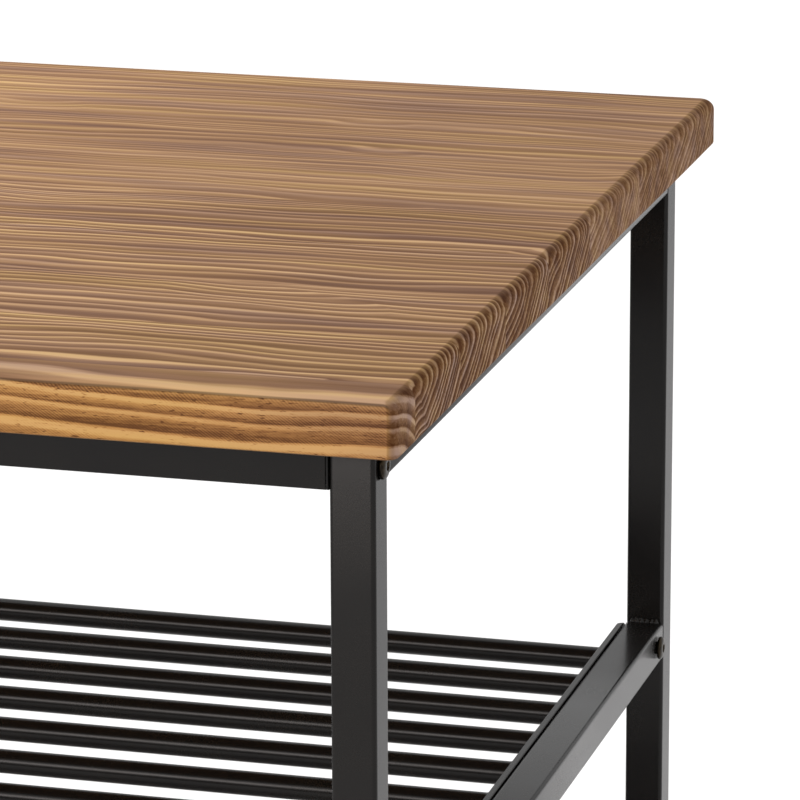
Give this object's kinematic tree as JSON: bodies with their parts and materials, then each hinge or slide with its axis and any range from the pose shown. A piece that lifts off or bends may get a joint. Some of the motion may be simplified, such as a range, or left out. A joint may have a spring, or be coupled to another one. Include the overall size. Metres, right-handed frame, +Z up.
{
  "type": "entryway bench",
  "caption": "Entryway bench with a rounded softwood seat board on a black square-tube frame with open racks of round tube beneath.",
  "frame": {"origin": "on the floor, under the middle of the bench", "axes": "+X to the bench's right along its length, +Y to the back, +Z up"},
  "size_m": [1, 0.47, 0.45],
  "materials": {
    "seat_wood": "solid softwood, brown wiped stain, satin lacquer",
    "frame_steel": "black fine powder coat, satin",
    "bolt_steel": "black oxide steel",
    "moulded_plastic": "black moulded plastic, matt"
  },
  "bodies": {
    "root": {"seat_board": "seat_wood", "leg_front_left": "frame_steel", "leg_front_right": "frame_steel", "leg_rear_left": "frame_steel", "leg_rear_right": "frame_steel", "top_side_rail_left": "frame_steel", "top_side_rail_right": "frame_steel", "rack_rail_upper_left": "frame_steel", "rack_rail_upper_right": "frame_steel", "rack_rail_lower_left": "frame_steel", "rack_rail_lower_right": "frame_steel", "long_rail_front": "frame_steel", "long_rail_rear": "frame_steel", "rail_insert_front_left": "moulded_plastic", "rail_insert_front_right": "moulded_plastic", "rail_insert_rear_left": "moulded_plastic", "rail_insert_rear_right": "moulded_plastic", "foot_plug_front_left": "moulded_plastic", "foot_plug_front_right": "moulded_plastic", "foot_plug_rear_left": "moulded_plastic", "foot_plug_rear_right": "moulded_plastic", "rack_plate_upper_left": "frame_steel", "rack_plate_upper_right": "frame_steel", "rack_rod_upper_01": "frame_steel", "rack_rod_upper_02": "frame_steel", "rack_rod_upper_03": "frame_steel", "rack_rod_upper_04": "frame_steel", "rack_rod_upper_05": "frame_steel", "rack_rod_upper_06": "frame_steel", "rack_rod_upper_07": "frame_steel", "rack_rod_upper_08": "frame_steel", "rack_rod_upper_09": "frame_steel", "rack_rod_upper_10": "frame_steel", "rack_rod_upper_11": "frame_steel", "rack_plate_lower_left": "frame_steel", "rack_plate_lower_right": "frame_steel", "rack_rod_lower_01": "frame_steel", "rack_rod_lower_02": "frame_steel", "rack_rod_lower_03": "frame_steel", "rack_rod_lower_04": "frame_steel", "rack_rod_lower_05": "frame_steel", "rack_rod_lower_06": "frame_steel", "rack_rod_lower_07": "frame_steel", "rack_rod_lower_08": "frame_steel", "rack_rod_lower_09": "frame_steel", "rack_rod_lower_10": "frame_steel", "rack_rod_lower_11": "frame_steel", "seat_bolt_front_left": "bolt_steel", "rack_bolt_upper_front_left": "bolt_steel", "rack_bolt_lower_front_left": "bolt_steel", "seat_bolt_front_right": "bolt_steel", "rack_bolt_upper_front_right": "bolt_steel", "rack_bolt_lower_front_right": "bolt_steel", "rack_bolt_upper_rear_left": "bolt_steel", "rack_bolt_lower_rear_left": "bolt_steel", "rack_bolt_upper_rear_right": "bolt_steel", "rack_bolt_lower_rear_right": "bolt_steel"}
  },
  "joints": []
}
